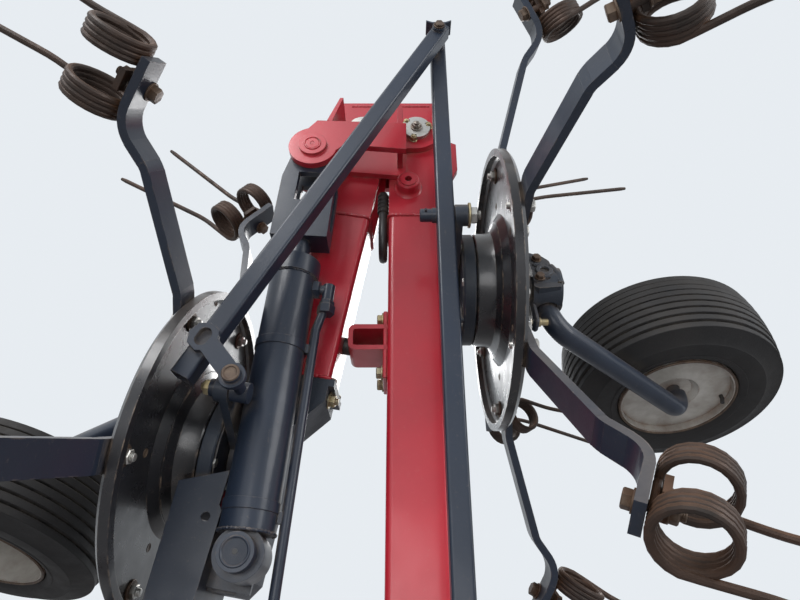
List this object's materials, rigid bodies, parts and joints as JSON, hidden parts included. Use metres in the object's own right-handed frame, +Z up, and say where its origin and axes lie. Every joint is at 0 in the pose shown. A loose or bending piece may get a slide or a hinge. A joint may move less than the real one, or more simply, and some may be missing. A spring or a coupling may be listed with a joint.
{
  "type": "hay tedder folding wing",
  "caption": "Folding wing of a hay tedder: hinged booms with a knuckle, geared tine rotors, swivelling wheels, links and fold cylinder.",
  "frame": {"origin": "centre of the base pivot bore, where the wing hinges on the machine's centre frame", "axes": "+Z up along the inner boom, +X towards the underside of the inner rotor, +Y across the wing along the pivot and knuckle pins"},
  "size_m": [1.6698, 1.495, 1.6058],
  "materials": {
    "red_paint": "gloss crimson paint, dusty",
    "grey_paint": "gloss anthracite paint, worn",
    "cast": "painted cast housing",
    "zinc": "zinc plate",
    "shaft": "bright turned steel",
    "spring": "rusty spring wire",
    "rubber": "black rubber",
    "tyre": "ribbed tyre rubber",
    "rim": "pale grey rim, dirty and rusty"
  },
  "bodies": {
    "inner_boom": {"inner_boom_tube": "red_paint", "inner_boom_head": "red_paint", "base_lugs": "red_paint", "drive_stub": "shaft", "stop_bracket": "red_paint", "stop_buffer": "rubber", "head_buffer": "rubber", "hose_loop": "rubber", "inner_gearbox": "cast"},
    "knuckle": {"knuckle_cheeks": "red_paint", "knuckle_pins": "zinc"},
    "outer_boom": {"outer_boom_tube": "red_paint", "outer_carrier": "cast", "outer_boom_head": "red_paint", "outer_gearbox": "cast", "guard_plate": "grey_paint", "cylinder_bracket": "grey_paint"},
    "barrel": {"cylinder_barrel": "grey_paint", "cylinder_pipe": "grey_paint"},
    "rod": {"cylinder_rod": "grey_paint"},
    "rotor_inner": {"inner_disc": "grey_paint", "inner_arms": "grey_paint", "inner_tines": "spring", "inner_clamps": "zinc"},
    "rotor_outer": {"outer_disc": "grey_paint", "outer_arms": "grey_paint", "outer_tines": "spring", "outer_clamps": "zinc"},
    "column_inner": {"inner_column": "grey_paint", "inner_wheel_arm": "grey_paint"},
    "column_outer": {"outer_column": "grey_paint", "outer_wheel_arm": "grey_paint"},
    "wheel_inner": {"inner_tyre": "tyre", "inner_rim": "rim"},
    "wheel_outer": {"outer_tyre": "tyre", "outer_rim": "rim"},
    "link_inner": {"inner_link": "grey_paint"},
    "link_joint": {"outer_link_joint": "zinc"},
    "link_outer": {"outer_link": "grey_paint"}
  },
  "joints": [
    {"name": "knuckle_fold", "type": "hinge", "parent": "inner_boom", "child": "knuckle", "pos_m": [0.006, 0, 1.02], "axis": [0, 1, 0], "range_deg": [0, 90]},
    {"name": "outer_fold", "type": "hinge", "parent": "knuckle", "child": "outer_boom", "pos_m": [-0.096, 0, 1.02], "axis": [0, 1, 0], "range_deg": [0, 80.3]},
    {"name": "barrel_swing", "type": "hinge", "parent": "outer_boom", "child": "barrel", "pos_m": [-0.21999, -0.095, 0.25901], "axis": [0, 1, 0], "range_deg": [0, 14.09]},
    {"name": "rod_slide", "type": "slide", "parent": "barrel", "child": "rod", "axis": [0.067, 0, 0.9978], "range_m": [0, 0.0417]},
    {"name": "swivel_inner", "type": "hinge", "parent": "inner_boom", "child": "column_inner", "pos_m": [0, 0, 0.7], "axis": [1, 0, 0], "range_deg": [0, 30]},
    {"name": "swivel_outer", "type": "hinge", "parent": "outer_boom", "child": "column_outer", "pos_m": [-0.19623, 0, 0.398], "axis": [-0.9857, 0, 0.1685], "range_deg": [-30, 0]},
    {"name": "wheel_inner_spin", "type": "hinge", "parent": "column_inner", "child": "wheel_inner", "pos_m": [0.525, 0.25488, 0.65924], "axis": [0, 0.309, 0.9511], "continuous": true},
    {"name": "wheel_outer_spin", "type": "hinge", "parent": "column_outer", "child": "wheel_outer", "pos_m": [-0.73342, 0.23016, 0.37128], "axis": [-0.1602, -0.309, -0.9375], "continuous": true},
    {"name": "rotor_inner_spin", "type": "hinge", "parent": "inner_boom", "child": "rotor_inner", "pos_m": [0.148, 0, 0.7], "axis": [1, 0, 0], "continuous": true},
    {"name": "rotor_outer_spin", "type": "hinge", "parent": "outer_boom", "child": "rotor_outer", "pos_m": [-0.34212, 0, 0.42293], "axis": [-0.9857, 0, 0.1685], "continuous": true},
    {"name": "inner_link_hinge", "type": "hinge", "parent": "column_inner", "child": "link_inner", "pos_m": [0.061, -0.14836, 0.74821], "axis": [1, 0, 0], "range_deg": [-30, 0]},
    {"name": "link_joint_hinge", "type": "hinge", "parent": "column_outer", "child": "link_joint", "pos_m": [-0.23345, -0.14836, 0.45326], "axis": [-0.9857, 0, 0.1685], "range_deg": [0, 30]},
    {"name": "outer_link_hinge", "type": "hinge", "parent": "link_joint", "child": "link_outer", "pos_m": [-0.23345, -0.14836, 0.45326], "axis": [0, 1, 0], "range_deg": [-12.2, 0]}
  ],
  "couplings": [
    {"joint": "outer_fold", "follows": "knuckle_fold", "ratio": 0.89221},
    {"joint": "barrel_swing", "follows": "knuckle_fold", "ratio": 0.15657},
    {"joint": "rod_slide", "follows": "knuckle_fold", "m_per_rad": 0.02656},
    {"joint": "outer_link_hinge", "follows": "knuckle_fold", "ratio": -0.13555},
    {"joint": "link_joint_hinge", "follows": "swivel_inner", "ratio": 1},
    {"joint": "swivel_outer", "follows": "swivel_inner", "ratio": -1},
    {"joint": "inner_link_hinge", "follows": "swivel_inner", "ratio": -1},
    {"joint": "rotor_outer_spin", "follows": "rotor_inner_spin", "ratio": -1}
  ]
}
